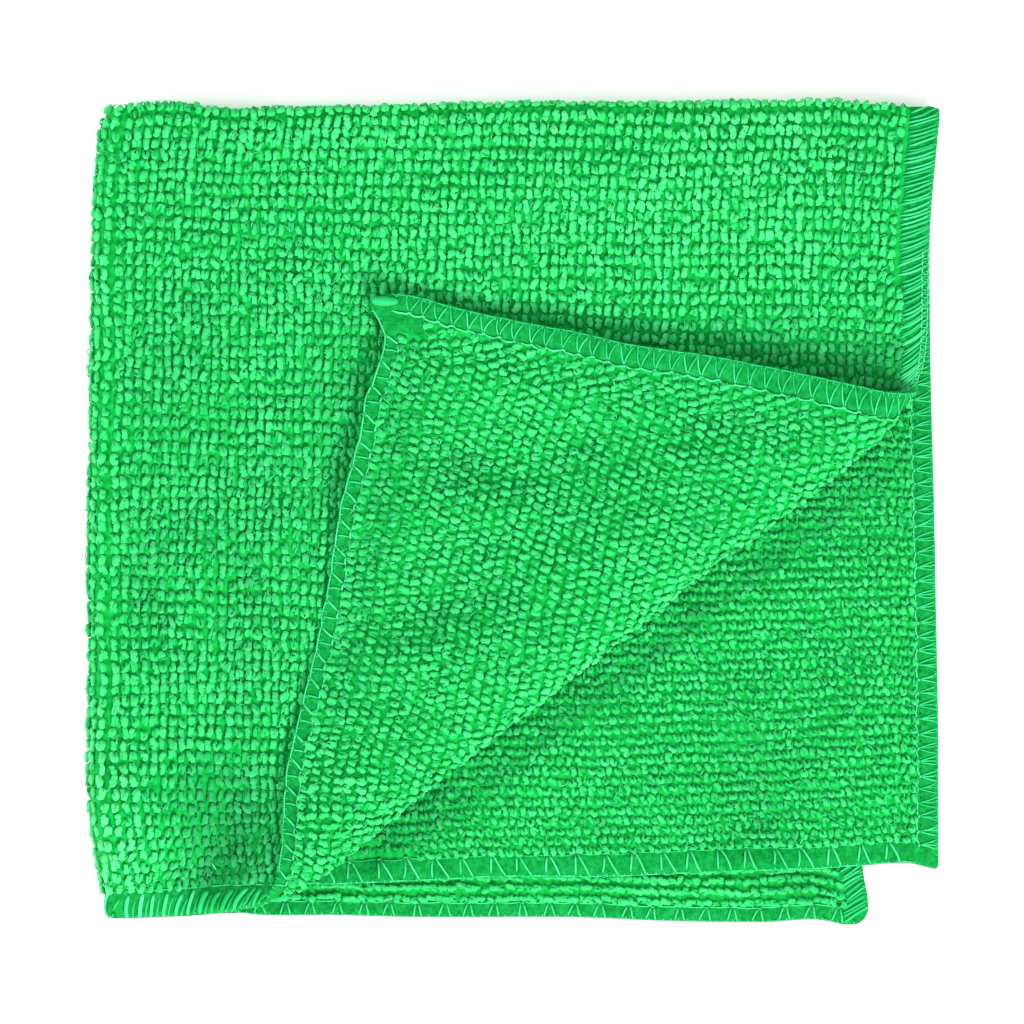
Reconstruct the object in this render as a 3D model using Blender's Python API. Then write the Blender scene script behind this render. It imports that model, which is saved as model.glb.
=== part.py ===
"""Microfibre cleaning cloth, 0.30 x 0.30 m, folded in quarters, one corner turned back.

Metres, +Z up, the cloth lies on the plane z = 0. The sheet is one closed solid. It is folded
in half away from the viewer (fold along +Y), then in half to the left (fold along -X), which
gives four plies. The near right corner of the top ply is turned back over a diagonal fold.
"""
import math

import bpy
import bmesh
from mathutils import Vector

MM = 0.001

# ---- driving sizes ---------------------------------------------------------------------------
SIDE = 300.0 * MM        # side of the square that was cut and hemmed
THICK = 1.5 * MM         # thickness of the cloth
PITCH = 2.1 * MM         # from the middle of one ply to the middle of the next
ROLL = 2.3 * MM          # radius of the diagonal fold, at the middle of the cloth
SETTLE = 15.0 * MM       # how far behind the diagonal fold the corner comes to rest
FOLD_STEPS_LEFT = 8      # facets round the left fold
FOLD_STEPS_TOP = 6       # facets round the top fold
ROLL_STEPS = 8           # facets round the diagonal fold
SNAP = 0.46 * MM         # a grid corner nearer than this to a facet line moves onto it

# lines across each half of the flat sheet, from fold (0) to hem (1)
LINES = (0.0, 0.03, 0.09, 0.17, 0.27, 0.37, 0.47, 0.57, 0.67, 0.76, 0.85, 0.92, 0.965, 1.0)

# ---- outlines, in mm -------------------------------------------------------------------------
# left fold as seen from above: share of the way down from the top fold, x of its outer edge
LEFT_FOLD = (
    # down,   x
    (0.00, -77.0),
    (0.03, -77.8),
    (0.06, -78.4),
    (0.12, -78.9),
    (0.25, -79.3),
    (0.40, -79.5),
    (0.52, -79.9),
    (0.70, -79.7),
    (0.81, -80.1),
    (0.86, -79.7),
    (0.92, -78.5),
    (0.96, -77.3),
    (1.00, -76.5),
)
# top fold as seen from above: share of the way across from the left fold, y of its outer edge
TOP_FOLD = (
    # across, y
    (0.00, 76.3),
    (0.03, 76.9),
    (0.06, 76.9),
    (0.09, 76.6),
    (0.13, 75.9),
    (0.17, 75.9),
    (0.22, 76.2),
    (0.35, 76.4),
    (0.53, 77.0),
    (0.70, 76.9),
    (0.86, 77.5),
    (0.93, 76.9),
    (1.00, 76.2),
)
# right hem of each ply: share of the way down, x
RIGHT_HEM = {
    1: ((0.00, 80.1), (0.065, 79.1), (0.14, 77.9), (0.24, 77.2), (0.34, 76.4), (0.38, 76.8),
        (0.43, 77.8), (0.50, 77.5), (0.55, 77.1), (0.60, 76.6), (0.65, 75.8), (0.70, 75.0),
        (0.75, 74.9), (0.80, 74.4), (0.87, 73.9), (0.92, 73.9), (1.00, 74.5)),
    2: ((0.00, 80.1), (0.10, 78.8), (0.17, 78.3), (0.30, 78.4), (0.40, 78.7), (0.50, 79.1),
        (0.65, 79.5), (0.80, 79.9), (1.00, 80.0)),
    3: ((0.00, 63.0), (0.50, 64.5), (0.93, 65.6), (0.97, 66.2), (1.00, 66.4)),
    4: ((0.00, 63.0), (0.40, 62.2), (1.00, 63.4)),
}
# bottom hem of each ply: share of the way across, y
BOTTOM_HEM = {
    1: ((0.00, -76.1), (0.065, -75.9), (0.165, -75.5), (0.24, -76.2), (0.29, -77.2),
        (0.35, -79.0), (0.39, -79.7), (0.50, -79.7), (0.54, -79.9), (0.62, -80.5),
        (0.66, -81.2), (0.73, -81.8), (0.79, -81.6), (0.85, -82.1), (0.90, -81.5),
        (0.93, -81.3), (0.955, -83.2), (0.98, -85.6), (1.00, -85.6)),
    2: ((0.00, -71.8), (0.12, -70.8), (0.245, -69.8), (0.38, -69.1), (0.45, -68.5),
        (0.58, -68.4), (0.68, -67.8), (0.77, -67.3), (0.84, -67.0), (0.905, -66.3),
        (0.96, -65.9), (1.00, -67.3)),
    3: ((0.00, -71.8), (0.08, -74.2), (0.16, -75.6), (0.28, -75.7), (0.40, -76.1),
        (0.60, -76.1), (0.73, -76.8), (0.86, -77.0), (0.93, -76.5), (0.97, -77.2),
        (1.00, -76.8)),
    4: ((0.00, -76.1), (0.20, -75.2), (0.50, -74.6), (1.00, -75.2)),
}
# the diagonal fold's outer edge: a point on it, its direction, and how far it strays outwards
CREASE_X, CREASE_Y = 20.34, -23.79
CREASE_ANGLE = math.radians(37.93)
CREASE_STRAY = (
    # along,  outwards
    (-82.0, -1.6),
    (-78.0, -0.4),
    (-68.0, 0.3),
    (-42.0, -0.3),
    (0.0, 0.0),
    (23.0, -0.4),
    (34.0, 0.3),
    (55.0, 0.2),
    (63.0, -0.2),
    (69.0, -1.8),
    (72.0, -2.4),
)
# how high the turned corner stands off ply 1 along its two hems
TOP_EDGE_LIFT = (
    # share of ply 1's right hem, from the top fold down; mm
    (0.36, 2.2),
    (0.45, 3.0),
    (0.60, 3.1),
    (0.80, 2.7),
    (0.92, 1.7),
    (1.00, 0.9),
)
LEFT_EDGE_LIFT = (
    # share of ply 1's bottom hem, from the left fold across; mm
    (0.25, 0.2),
    (0.45, 0.5),
    (0.70, 1.0),
    (0.90, 1.3),
    (1.00, 0.9),
)
HEM_LIFT_REACH = 16.0    # mm from the hem over which that lift dies away

# soft rises and dips of the upper plies, in full on ply 1 and less on each ply below
SWELLS = (
    # x,     y,    half-length, half-width, angle of its length, height    (mm, degrees)
    (-68.0, -57.0, 11.0, 9.0, 70.0, 1.9),     # bulge at the near left corner
    (-74.0, 5.0, 62.0, 8.0, 90.0, 0.8),       # fullness of the left fold
    (0.0, 73.0, 70.0, 6.0, 0.0, 0.5),         # fullness of the top fold
    (-30.0, 40.0, 24.0, 16.0, 20.0, 0.35),
    (40.0, 47.0, 30.0, 18.0, 5.0, 0.45),
    (-58.0, -22.0, 20.0, 9.0, 80.0, 0.4),
    (52.0, -40.0, 22.0, 14.0, 35.0, 0.4),
    (12.0, -56.0, 20.0, 10.0, 10.0, 0.3),
)
# the right strip of plies 1 and 2 reaches past plies 3 and 4 and sags towards the surface
SAG_FROM, SAG_TO, SAG = 67.6, 81.0, 2.3
# the near left corner of ply 1 reaches past plies 2 and 3 and sags
CORNER_SAG = 1.6


# ---- geometry --------------------------------------------------------------------------------
def read(table, at):
    """Value of a two-column table at a point between its rows, on a smooth curve."""
    if at <= table[0][0]:
        return table[0][1]
    if at >= table[-1][0]:
        return table[-1][1]
    n = len(table)
    for i in range(n - 1):
        a, b = table[i], table[i + 1]
        if at <= b[0]:
            break
    def slope(j):
        lo, hi = table[max(j - 1, 0)], table[min(j + 1, n - 1)]
        return (hi[1] - lo[1]) / (hi[0] - lo[0])
    w = b[0] - a[0]
    u = (at - a[0]) / w
    return ((2 * u**3 - 3 * u**2 + 1) * a[1] + (u**3 - 2 * u**2 + u) * w * slope(i)
            + (3 * u**2 - 2 * u**3) * b[1] + (u**3 - u**2) * w * slope(i + 1))


def ease(u):
    u = min(max(u, 0.0), 1.0)
    return u * u * (3.0 - 2.0 * u)


HALF = SIDE / 2
ARC_LEFT = math.pi / 2 * PITCH          # cloth in half of the left fold, middle of the two plies
ARC_TOP = math.pi / 2 * PITCH / 2       # cloth in half of the top fold
MIDDLE = THICK / 2 + 1.5 * PITCH        # height between plies 2 and 3
TOP_PLY = THICK / 2 + 3 * PITCH         # height of ply 1
ALONG = Vector((math.cos(CREASE_ANGLE), math.sin(CREASE_ANGLE), 0.0))
OUT = Vector((ALONG.y, -ALONG.x, 0.0))
CREASE = Vector((CREASE_X, CREASE_Y, 0.0)) * MM
ROLL_START = -(ROLL + THICK / 2)        # where the cloth starts to turn, behind the outer edge


def quarter_fold(s, t):
    """Middle of the cloth after both folds, for the flat sheet's s (right) and t (far fold)."""
    ply = {(True, True): 1, (True, False): 2, (False, False): 3, (False, True): 4}[(s >= 0, t >= 0)]
    across = max(abs(s) - ARC_LEFT, 0.0) / (HALF - ARC_LEFT)
    down = max(abs(t) - ARC_TOP, 0.0) / (HALF - ARC_TOP)
    turn_left = math.pi / 2 * max(-1.0, min(1.0, s / ARC_LEFT))
    turn_top = math.pi / 2 * max(-1.0, min(1.0, t / ARC_TOP))
    off = PITCH / 2 * math.sin(turn_top)
    radius = PITCH + off
    left = read(LEFT_FOLD, down) * MM + 1.5 * PITCH + THICK / 2
    top = read(TOP_FOLD, across) * MM - PITCH / 2 - THICK / 2
    right = read(RIGHT_HEM[ply], down) * MM
    bottom = read(BOTTOM_HEM[ply], across) * MM
    x = left + across * (right - left) - radius * math.cos(turn_left)
    y = top - down * (top - bottom) + PITCH / 2 * math.cos(turn_top)
    return Vector((x, y, MIDDLE + radius * math.sin(turn_left)))


def swell(x, y):
    """Height of the soft rises at a point of the plan."""
    total = 0.0
    for cx, cy, length, width, angle, height in SWELLS:
        a = math.radians(angle)
        dx, dy = x - cx * MM, y - cy * MM
        u = (dx * math.cos(a) + dy * math.sin(a)) / (length * MM)
        v = (dy * math.cos(a) - dx * math.sin(a)) / (width * MM)
        total += height * MM * math.exp(-(u * u + v * v))
    return total


def turn_back(p):
    """Carry a point of ply 1 past the diagonal fold over onto the ply, and say how high."""
    rel = p - CREASE
    q, out = rel.dot(ALONG), rel.dot(OUT)
    w = out - ROLL_START
    if w <= 0.0:
        return p, 0.0
    right = read(RIGHT_HEM[1], (76.0 * MM - p.y) / (155.0 * MM)) * MM
    bottom = read(BOTTOM_HEM[1], (p.x + 76.0 * MM) / (150.0 * MM)) * MM
    if w < math.pi * ROLL:
        a = w / ROLL
        out, rise = ROLL_START + ROLL * math.sin(a), ROLL * (1.0 - math.cos(a))
    else:
        back = w - math.pi * ROLL
        down = (76.0 * MM - p.y) / (155.0 * MM)
        across = (p.x + 76.0 * MM) / (150.0 * MM)
        at_top = read(TOP_EDGE_LIFT, down) * MM * (1.0 - ease((right - p.x) / (HEM_LIFT_REACH * MM)))
        at_left = read(LEFT_EDGE_LIFT, across) * MM * (1.0 - ease((p.y - bottom) / (HEM_LIFT_REACH * MM)))
        rest = PITCH + math.hypot(at_top, at_left)
        out = ROLL_START - back
        rise = rest + (2 * ROLL - rest) * (1.0 - ease(back / SETTLE))
    return CREASE + q * ALONG + out * OUT + Vector((0, 0, p.z)), rise


def lie(p):
    """Final place of a point of the quarter-folded cloth."""
    level = (p.z - THICK / 2) / (3 * PITCH)
    rise = 0.0
    if p.z > TOP_PLY - PITCH / 4:
        p, rise = turn_back(p)
    x, y, z = p
    rel = p - CREASE
    q, out = rel.dot(ALONG), rel.dot(OUT)
    if level > 0.9:
        stray = read(CREASE_STRAY, q / MM) * MM * math.exp(-(out / (11.0 * MM)) ** 2)
        x, y = x + OUT.x * stray, y + OUT.y * stray
    z += level * swell(x, y)
    if level > 0.5:
        z -= SAG * MM * ease((x / MM - SAG_FROM) / (SAG_TO - SAG_FROM))
    if level > 0.9:
        z -= CORNER_SAG * MM * ease((-y / MM - 71.0) / 5.0) * ease((-x / MM - 56.0) / 10.0)
    return Vector((x, y, z + rise))


def flat_lines(arc, steps):
    """Places of the grid lines along one side of the flat sheet."""
    hem_side = [arc + f * (HALF - arc) for f in LINES]
    bend = [arc * (2.0 * i / steps - 1.0) for i in range(1, steps)]
    return [-v for v in reversed(hem_side)] + bend + hem_side


def folded_sheet():
    """Middle surface of the folded cloth, faceted along its folds."""
    bm = bmesh.new()
    ss, ts = flat_lines(ARC_LEFT, FOLD_STEPS_LEFT), flat_lines(ARC_TOP, FOLD_STEPS_TOP)
    grid = [[bm.verts.new(quarter_fold(s, t)) for t in ts] for s in ss]
    top_faces = []
    for i in range(len(ss) - 1):
        for j in range(len(ts) - 1):
            face = bm.faces.new((grid[i][j], grid[i + 1][j], grid[i + 1][j + 1], grid[i][j + 1]))
            if ss[i] >= ARC_LEFT * 0.999 and ts[j] >= ARC_TOP * 0.999:
                top_faces.append(face)
    cuts = [ROLL * math.pi * i / ROLL_STEPS for i in range(ROLL_STEPS + 1)]
    cuts += [math.pi * ROLL + SETTLE * 0.5, math.pi * ROLL + SETTLE]
    for v in {v for f in top_faces for v in f.verts}:
        # a grid corner beside a cut moves onto it, so that no sliver is left between them
        w = (v.co - CREASE).dot(OUT) - ROLL_START
        near = min(cuts, key=lambda c: abs(c - w))
        if abs(near - w) < SNAP:
            v.co += (near - w) * OUT
    for w in cuts:
        # the faces of ply 1 are found afresh, since each cut adds some
        faces = [f for f in bm.faces if all(v.co.z > TOP_PLY - PITCH / 100 for v in f.verts)]
        edges = {e for f in faces for e in f.edges}
        verts = {v for f in faces for v in f.verts}
        bmesh.ops.bisect_plane(bm, geom=list(verts) + list(edges) + faces, dist=1e-5,
                               plane_co=CREASE + (ROLL_START + w) * OUT, plane_no=OUT)
    bmesh.ops.triangulate(bm, faces=bm.faces[:])
    for v in bm.verts:
        v.co = lie(v.co.copy())
    bm.normal_update()
    return bm


def thicken(sheet):
    """Closed solid with the sheet in its middle."""
    solid = bmesh.new()
    over, under = {}, {}
    for v in sheet.verts:
        over[v] = solid.verts.new(v.co + v.normal * (THICK / 2))
        under[v] = solid.verts.new(v.co - v.normal * (THICK / 2))
    for f in sheet.faces:
        solid.faces.new([over[v] for v in f.verts])
        solid.faces.new([under[v] for v in reversed(f.verts)])
    for e in sheet.edges:
        if e.is_boundary:
            loop = e.link_loops[0]
            a, b = loop.vert, loop.link_loop_next.vert
            solid.faces.new((over[b], over[a], under[a], under[b]))
    bmesh.ops.triangulate(solid, faces=solid.faces[:])
    for v in solid.verts:
        if abs(v.co.z) < 2e-5:
            v.co.z = 0.0
    lo = Vector([min(v.co[i] for v in solid.verts) for i in range(3)])
    hi = Vector([max(v.co[i] for v in solid.verts) for i in range(3)])
    bmesh.ops.translate(solid, verts=solid.verts[:], vec=Vector((-(lo.x + hi.x) / 2, -(lo.y + hi.y) / 2, -lo.z)))
    bmesh.ops.recalc_face_normals(solid, faces=solid.faces[:])
    return solid


def fabric(name, colour, roughness):
    mat = bpy.data.materials.new(name)
    mat.use_nodes = True
    shader = mat.node_tree.nodes["Principled BSDF"]
    shader.inputs["Base Color"].default_value = (*colour, 1.0)
    shader.inputs["Roughness"].default_value = roughness
    shader.inputs["Metallic"].default_value = 0.0
    shader.inputs["Sheen Weight"].default_value = 0.4
    return mat


def main():
    for obj in list(bpy.data.objects):
        bpy.data.objects.remove(obj, do_unlink=True)
    sheet = folded_sheet()
    solid = thicken(sheet)
    mesh = bpy.data.meshes.new("cloth")
    solid.to_mesh(mesh)
    solid.free()
    sheet.free()
    mesh.shade_smooth()
    cloth = bpy.data.objects.new("cloth", mesh)
    cloth.data.materials.append(fabric("green microfibre", (0.03, 0.58, 0.12), 0.9))
    bpy.context.scene.collection.objects.link(cloth)


main()
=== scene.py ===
"""Looks of the folded microfibre cloth: fine sheet, knit loops, overlock threads, floor, light.

The cloth is laid out flat as a square of 300 mm with s to the right and t away, its middle at
0, 0, and every piece is placed by s and t. lay() folds the square as the CAD does. Sizes are in
millimetres until a mesh is made. Face A is the looped side, face B the ribbed side.
"""
import math

import bpy
import numpy as np
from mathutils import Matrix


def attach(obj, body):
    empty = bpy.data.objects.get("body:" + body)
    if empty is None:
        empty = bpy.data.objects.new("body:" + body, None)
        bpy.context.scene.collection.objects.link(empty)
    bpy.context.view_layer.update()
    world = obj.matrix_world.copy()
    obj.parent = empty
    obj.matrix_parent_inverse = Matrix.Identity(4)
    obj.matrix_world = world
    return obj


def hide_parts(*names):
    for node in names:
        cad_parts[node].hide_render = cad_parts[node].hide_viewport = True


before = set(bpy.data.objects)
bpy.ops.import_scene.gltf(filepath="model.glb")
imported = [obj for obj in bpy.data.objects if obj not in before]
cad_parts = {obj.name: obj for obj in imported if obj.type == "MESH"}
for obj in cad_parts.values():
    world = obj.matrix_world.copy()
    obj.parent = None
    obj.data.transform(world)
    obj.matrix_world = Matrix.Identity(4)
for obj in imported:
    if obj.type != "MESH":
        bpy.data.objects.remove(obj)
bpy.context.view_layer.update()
PI = math.pi

# ---- sizes, mm -------------------------------------------------------------------------------
HALF = 150.0             # half the side of the square
THICK = 1.5              # thickness of the CAD solid
PITCH = 2.1              # from the middle of one ply to the middle of the next
ROLL = 2.3               # radius of the diagonal fold
SETTLE = 29.0            # how far behind the diagonal fold the corner comes to rest
REACH = 0.97             # how far the loops reach from the middle of the cloth
HEM_WIDTH = {            # edge, face (1 is A, -1 is B): place along the edge, width of the hem there
    ("s+", 1): ((-150.0, 5.0), (0.0, 5.5), (35.0, 4.9), (55.0, 4.4), (150.0, 4.4)),
    ("s+", -1): ((-150.0, 4.0), (-30.0, 3.9), (50.0, 4.6), (100.0, 4.1), (150.0, 3.5)),
    ("s-", 1): ((-150.0, 4.6), (150.0, 4.6)), ("s-", -1): ((-150.0, 4.0), (150.0, 4.0)),
    ("t+", 1): ((-150.0, 5.4), (150.0, 5.4)), ("t+", -1): ((-150.0, 2.7), (150.0, 2.7)),
    ("t-", 1): ((-150.0, 3.0), (150.0, 3.0)), ("t-", -1): ((-150.0, 4.6), (150.0, 4.6))}
CENTRE = (0.1555, 0.1698)    # middle of the outline, which becomes the origin

LEFT_FOLD = (            # share of the way down, x of the left fold's outer edge
    (0.00, -77.0), (0.03, -77.8), (0.06, -78.4), (0.12, -78.9), (0.25, -79.3), (0.40, -79.5),
    (0.52, -79.9), (0.70, -79.7), (0.81, -80.1), (0.86, -79.7), (0.92, -78.5), (0.96, -77.3),
    (1.00, -76.5))
TOP_FOLD = (             # share of the way across, y of the top fold's outer edge
    (0.00, 76.3), (0.03, 76.9), (0.06, 76.9), (0.09, 76.6), (0.13, 75.9), (0.17, 75.9),
    (0.22, 76.2), (0.35, 76.4), (0.53, 77.0), (0.70, 76.9), (0.86, 77.5), (0.93, 76.9),
    (1.00, 76.2))
RIGHT_HEM = {            # of each ply: share of the way down, x
    1: ((0.00, 80.1), (0.065, 79.1), (0.14, 78.1), (0.24, 77.7), (0.34, 77.5), (0.38, 77.5),
        (0.43, 77.8), (0.50, 77.5), (0.55, 77.1), (0.60, 76.6), (0.65, 75.8), (0.70, 75.0),
        (0.75, 74.9), (0.80, 74.4), (0.87, 73.9), (0.92, 73.9), (1.00, 74.5)),
    2: ((0.00, 80.1), (0.10, 78.8), (0.17, 78.3), (0.30, 78.4), (0.40, 78.7), (0.50, 79.1),
        (0.65, 79.5), (0.80, 79.9), (1.00, 80.0)),
    3: ((0.00, 63.0), (0.50, 64.5), (0.93, 65.7), (0.97, 66.7), (1.00, 66.8)),
    4: ((0.00, 63.0), (0.40, 62.2), (1.00, 63.4))}
BOTTOM_HEM = {           # of each ply: share of the way across, y
    1: ((0.00, -76.1), (0.065, -75.9), (0.165, -75.5), (0.24, -76.2), (0.29, -77.2),
        (0.35, -79.0), (0.39, -79.7), (0.50, -79.7), (0.54, -79.9), (0.62, -80.5),
        (0.66, -81.2), (0.73, -81.8), (0.79, -81.6), (0.85, -82.1), (0.90, -81.5),
        (0.93, -81.3), (0.955, -83.2), (0.98, -85.6), (1.00, -85.6)),
    2: ((0.00, -69.0), (0.12, -69.6), (0.245, -69.8), (0.38, -69.1), (0.45, -68.5),
        (0.58, -68.4), (0.68, -67.8), (0.77, -67.3), (0.84, -67.0), (0.905, -66.3),
        (0.96, -65.9), (1.00, -67.3)),
    3: ((0.00, -69.0), (0.08, -72.2), (0.16, -75.4), (0.28, -75.7), (0.40, -76.1),
        (0.60, -76.1), (0.73, -76.8), (0.86, -77.0), (0.93, -76.5), (0.97, -77.5),
        (1.00, -77.1)),
    4: ((0.00, -76.1), (0.20, -75.2), (0.50, -74.6), (1.00, -75.2))}
CREASE_X, CREASE_Y, CREASE_ANGLE = 20.34, -23.79, math.radians(37.93)
CREASE_STRAY = (         # along the diagonal fold, how far its edge strays outwards
    (-82.0, -1.6), (-78.0, -0.4), (-68.0, 0.3), (-42.0, -0.3), (0.0, 0.0), (23.0, -0.4),
    (34.0, 0.3), (55.0, 0.2), (63.0, -0.2), (69.0, -1.8), (72.0, -2.4))
TOP_EDGE_LIFT = (        # share of ply 1's right hem, how far the turned corner stands off there
    (0.34, 4.2), (0.42, 4.8), (0.55, 4.3), (0.75, 3.0), (0.90, 1.8), (1.00, 0.9))
LEFT_EDGE_LIFT = (       # the same along ply 1's bottom hem
    (0.18, 0.2), (0.30, 0.1), (0.38, -0.5), (0.45, -0.9), (0.60, -0.7), (0.70, 0.3), (0.80, 1.3),
    (0.93, 1.6), (1.00, 1.1))
HEM_LIFT_REACH = 16.0
NOSE = (                 # section of the diagonal fold: distance along the cloth, ahead, up
    (0.0, 0.0, 0.0), (1.2, 1.15, 0.25), (2.3, 1.95, 0.95), (3.3, 2.30, 1.90), (4.5, 1.95, 3.00),
    (6.0, 0.85, 4.00), (8.0, -0.82, 5.10), (10.0, -2.68, 5.80), (13.0, -5.66, 6.20))
NOSE_HEIGHT = (          # along the diagonal fold, its height as a share of the section's
    (-86.0, 0.36), (-72.0, 0.46), (-52.0, 0.66), (-28.0, 0.90), (0.0, 1.00), (80.0, 1.00))
HUMP = (                 # where the turned corner's near end lifts the top ply: as SWELLS
    (-37.0, -68.0, 16.0, 9.0, 62.0, 5.0), (-77.0, -58.0, 20.0, 10.0, 74.0, 4.2))
SWELLS = (               # x, y, half-length, half-width, angle of its length, height
    (-70.0, -57.0, 11.0, 9.0, 70.0, 1.2), (-74.0, 5.0, 62.0, 8.0, 90.0, 0.8),
    (0.0, 73.0, 70.0, 6.0, 0.0, 0.5), (-30.0, 40.0, 24.0, 16.0, 20.0, 0.35),
    (40.0, 47.0, 30.0, 18.0, 5.0, 0.45), (-58.0, -22.0, 20.0, 9.0, 80.0, 0.4),
    (52.0, -40.0, 22.0, 14.0, 35.0, 0.4), (12.0, -56.0, 20.0, 10.0, 10.0, 0.3))
SAG_FROM, SAG_TO, SAG, CORNER_SAG = 67.6, 81.0, 2.3, 1.6

# main soft ridges and troughs that the loops lie over, by the ply and face they show on:
# x, y, half-length, half-width, angle of its length, height
RELIEF = {
    "top": (
        (-69.0, -62.0, 20.0, 7.0, 66.0, 1.0), (-55.0, -63.0, 16.0, 7.0, 68.0, -2.2),
        (-71.0, 0.0, 90.0, 7.0, 90.0, 1.8), (-56.0, -38.0, 10.0, 4.0, 50.0, -0.8),
        (-69.0, -14.0, 9.0, 4.0, 110.0, -1.6), (-57.0, -13.0, 14.0, 3.5, 80.0, 1.3),
        (-50.0, -16.0, 20.0, 4.5, 84.0, -1.5), (-41.0, 2.0, 18.0, 4.0, 80.0, 1.0),
        (-60.0, 44.0, 14.0, 4.0, 20.0, -0.9), (-42.0, 50.0, 10.0, 4.0, 30.0, -0.7),
        (-33.0, 14.0, 18.0, 5.0, 85.0, -1.3), (10.0, 62.0, 40.0, 7.0, 3.0, 1.3),
        (55.0, 58.0, 22.0, 9.0, 0.0, 1.3), (-20.0, 62.0, 14.0, 5.0, 20.0, -0.5)),
    "flap": (
        (6.0, 22.0, 26.0, 4.5, -10.0, 1.9), (-9.0, 11.0, 12.0, 4.0, -12.0, -1.4),
        (-6.0, 0.0, 18.0, 4.5, 6.0, 1.9), (-12.0, -17.0, 17.0, 4.5, 16.0, -1.4),
        (-16.0, -28.0, 12.0, 4.0, 25.0, 1.2), (-30.0, -39.0, 9.0, 5.0, 70.0, -1.5),
        (44.0, 17.0, 12.0, 4.5, -10.0, -1.0), (10.0, -10.0, 22.0, 4.0, 36.0, 0.8),
        (32.0, 9.0, 18.0, 4.0, 10.0, 0.9), (-22.0, 22.0, 6.0, 5.0, 80.0, -0.6),
        (-27.0, -8.0, 42.0, 3.0, 76.0, -0.9), (-30.0, -51.0, 8.0, 5.0, 60.0, 0.8)),
    "lower": (
        (-18.0, -51.0, 5.0, 3.5, 40.0, -1.2),
        (-27.0, -63.5, 5.0, 3.0, 40.0, -1.4), (47.0, -50.0, 14.0, 5.0, -70.0, -1.6),
        (35.0, -33.0, 20.0, 3.5, -64.0, -0.6), (43.0, -36.0, 20.0, 4.5, -64.0, 1.6),
        (53.0, -40.0, 12.0, 4.0, 60.0, -0.6), (64.0, -38.0, 16.0, 4.5, 70.0, 1.3),
        (62.0, -18.0, 9.0, 4.0, 20.0, -0.6), (58.0, -6.0, 10.0, 4.0, 35.0, -0.5),
        (70.0, -12.0, 12.0, 4.0, 80.0, 0.9), (61.0, -26.0, 4.0, 3.0, 0.0, -0.6),
        (70.0, -34.0, 4.0, 3.0, 0.0, -0.6), (44.0, -58.0, 8.0, 2.5, 25.0, -0.7),
        (18.0, -59.0, 8.0, 2.5, 20.0, -0.6), (25.0, -46.0, 14.0, 5.0, -60.0, 1.4),
        (0.0, -54.0, 14.0, 4.0, 30.0, 0.9), (68.0, -54.0, 8.0, 4.0, 60.0, 1.2),
        (40.0, -66.0, 22.0, 2.5, 0.0, 0.7)),
    "strip": (
        (52.0, -68.0, 4.0, 3.0, 0.0, -0.7), (10.0, -71.0, 30.0, 1.6, 0.0, 0.3)),
}
NAP_AND_PAINTED_LIGHT = {                  # where the loops are painted lighter or darker: partly the lean of the pile, partly painted shade, shadow and highlight (the dark valley by the turned corner's near end, the shadow above its far hem, the shade along the diagonal fold, the bright rims of the folds and the crease); as RELIEF, with a share for height
    "top": (
        (35.0, 62.0, 66.0, 30.0, 0.0, 0.15), (-58.0, 4.0, 42.0, 22.0, 85.0, -0.10),
        (-68.0, -12.0, 9.0, 5.0, 110.0, -0.14), (-77.0, -62.0, 26.0, 11.0, 76.0, 0.34),
        (-54.0, -66.0, 18.0, 8.0, 64.0, -0.48), (-79.0, 0.0, 95.0, 4.5, 90.0, 0.22),
        (0.0, 77.0, 90.0, 4.0, 0.0, 0.18), (-32.0, 22.0, 20.0, 6.5, 80.0, -0.14),
        (-51.0, -15.0, 20.0, 5.0, 88.0, -0.08), (66.0, 29.0, 10.0, 6.0, -10.0, -0.30),
        (51.0, 34.0, 9.0, 5.0, -10.0, -0.18), (73.0, 27.0, 5.0, 4.0, -10.0, -0.28),
        (-60.0, -53.0, 8.0, 6.0, 50.0, -0.26), (-43.0, -44.0, 14.0, 3.5, 80.0, 0.20)),
    "corner": (
        (-29.0, -38.0, 9.0, 6.0, 70.0, -0.08), (-10.0, -18.0, 16.0, 5.0, 16.0, -0.05),
        (-22.0, 20.0, 15.0, 6.0, 80.0, -0.12), (-26.0, -8.0, 42.0, 3.5, 76.0, -0.10),
        (-31.0, -50.0, 9.0, 7.0, 60.0, 0.22), (21.5, -24.2, 70.0, 4.0, 37.93, 0.18)),
    "lower": (
        (24.3, -27.7, 74.0, 2.0, 37.93, -0.34), (30.0, -36.0, 60.0, 8.0, 37.93, 0.08),
        (44.0, -46.0, 20.0, 7.0, -70.0, -0.07), (65.0, -6.0, 22.0, 16.0, 80.0, -0.05),
        (-22.0, -57.0, 12.0, 4.0, 38.0, -0.16), (57.0, -46.0, 12.0, 5.0, 60.0, -0.05),
        (-28.0, -62.0, 6.0, 4.0, 40.0, -0.22), (40.0, -34.0, 18.0, 3.0, -66.0, -0.12)),
    "strip": ((54.0, -70.0, 6.0, 4.0, 0.0, -0.22),)}
RIPPLES = (              # wavelength, direction, phase, height of the cloth's faint unevenness
    (9.5, 20.0, 0.3, 0.055), (11.0, 75.0, 1.9, 0.065), (13.0, 131.0, 4.0, 0.075),
    (15.5, 48.0, 2.7, 0.085), (17.0, 104.0, 5.2, 0.09), (21.0, 163.0, 0.9, 0.11),
    (26.0, 88.0, 3.6, 0.12), (31.0, 12.0, 1.2, 0.13))
ROUND = {(1, 1): 2.8, (1, -1): 1.3, (-1, -1): 2.8, (-1, 1): 2.8}     # radius of the corner at s, t
TIP = (-0.8, -1.9, 4.5)  # how far the turned corner's tip is pulled, x, y, and over what radius
BARE = (8.0, 8.5)        # no loops on face B this near to that corner, along s and t


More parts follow.
